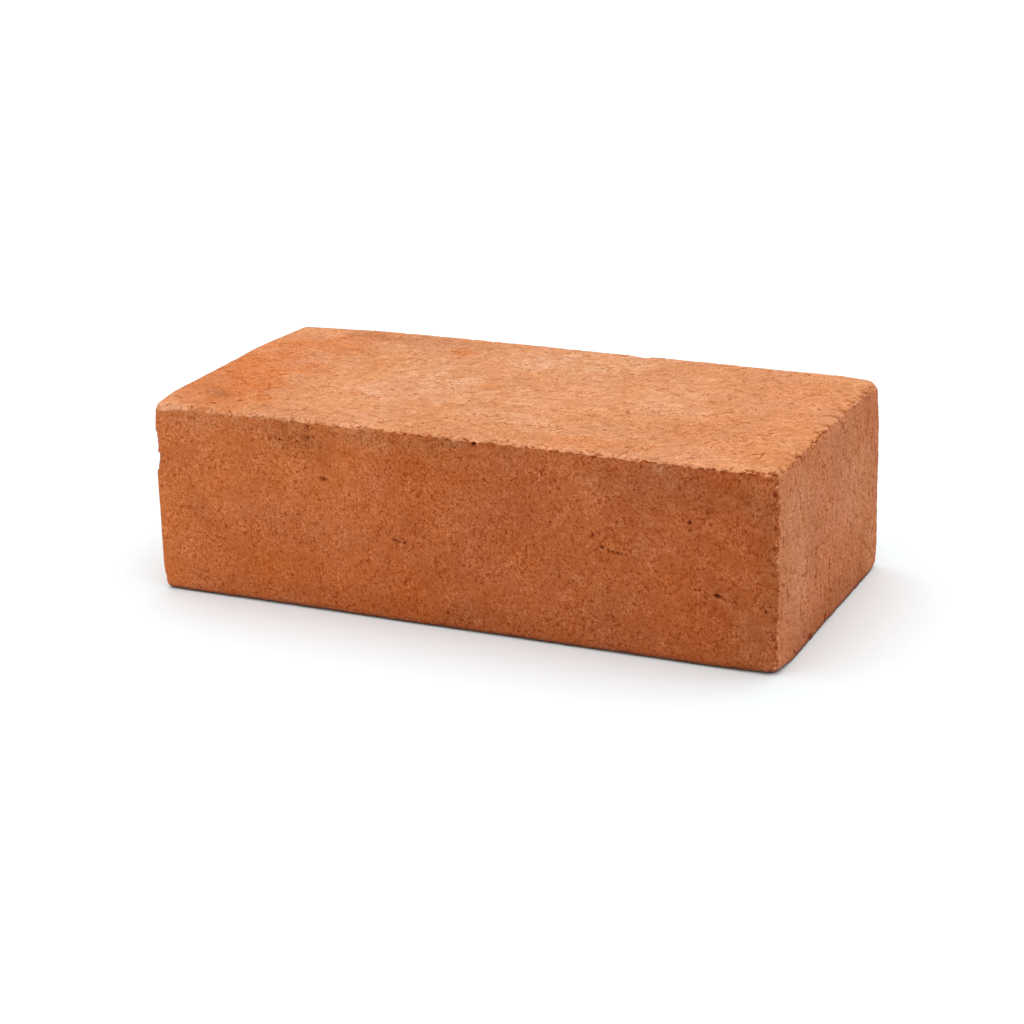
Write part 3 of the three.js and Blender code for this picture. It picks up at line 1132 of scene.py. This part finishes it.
def make_floor():
    """A floor that the camera sees as white, with the brick's shadow, and that bounces less light."""
    mesh = bpy.data.meshes.new("floor")
    reach = FLOOR_SIZE / 2
    corners = [(-reach, -reach, 0), (reach, -reach, 0), (reach, reach, 0), (-reach, reach, 0)]
    mesh.from_pydata(corners, [], [(0, 1, 2, 3)])
    floor = bpy.data.objects.new("floor", mesh)
    bpy.context.scene.collection.objects.link(floor)
    material = bpy.data.materials.new("floor")
    material.use_nodes = True
    n = Nodes(material.node_tree)
    seen = n.add("ShaderNodeLightPath").outputs["Is Camera Ray"]
    grey = (FLOOR_BOUNCE, FLOOR_BOUNCE, FLOOR_BOUNCE, 1)
    surface = n.add("ShaderNodeBsdfDiffuse", {"Color": n.mix(seen, grey, FLOOR_SEEN)})
    output = n.add("ShaderNodeOutputMaterial")
    n.feed(output.inputs["Surface"], surface.outputs["BSDF"])
    mesh.materials.append(material)


def make_sky():
    """Soft light from a dome that is brightest overhead, seen by the camera as plain white."""
    world = bpy.data.worlds.new("studio")
    world.use_nodes = True
    bpy.context.scene.world = world
    n = Nodes(world.node_tree)
    direction = n.add("ShaderNodeTexCoord").outputs["Generated"]
    height = n.add("ShaderNodeSeparateXYZ", {"Vector": direction}).outputs["Z"]
    overhead = n.math("POWER", n.math("MAXIMUM", height, 0.0), SKY_POWER)
    light = n.math("MULTIPLY_ADD", overhead, SKY_TOP, SKY_BASE)
    seen = n.add("ShaderNodeLightPath").outputs["Is Camera Ray"]
    strength = n.math("ADD", n.math("MULTIPLY", light, n.math("SUBTRACT", 1.0, seen)), seen)
    background = n.add("ShaderNodeBackground", {"Color": (1, 1, 1, 1), "Strength": strength})
    output = n.add("ShaderNodeOutputWorld")
    n.feed(output.inputs["Surface"], background.outputs["Background"])


def make_camera():
    """A camera in front of the brick, to its right and above it, that looks down at it."""
    data = bpy.data.cameras.new("camera")
    data.lens = CAMERA_LENS
    data.sensor_width = CAMERA_SENSOR
    data.clip_start, data.clip_end = CAMERA_CLIP
    camera = bpy.data.objects.new("camera", data)
    bpy.context.scene.collection.objects.link(camera)
    forward = Vector(
        (
            math.sin(CAMERA_YAW) * math.cos(CAMERA_PITCH),
            math.cos(CAMERA_YAW) * math.cos(CAMERA_PITCH),
            -math.sin(CAMERA_PITCH),
        )
    )
    level_right = Vector((math.cos(CAMERA_YAW), -math.sin(CAMERA_YAW), 0))
    level_up = level_right.cross(forward)
    right = math.cos(CAMERA_ROLL) * level_right + math.sin(CAMERA_ROLL) * level_up
    up = math.cos(CAMERA_ROLL) * level_up - math.sin(CAMERA_ROLL) * level_right
    turn = Matrix((right, up, -forward)).transposed().to_4x4()
    camera.matrix_world = Matrix.Translation(CAMERA_PLACE) @ turn
    bpy.context.scene.camera = camera


# ---- The scene ------------------------------------------------------------------------------

brick = make_brick()
brick.data.materials.append(clay_material())
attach(brick, BODY)
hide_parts(NODE)

make_floor()
make_sky()
make_camera()
bpy.context.scene.view_settings.view_transform = "Standard"
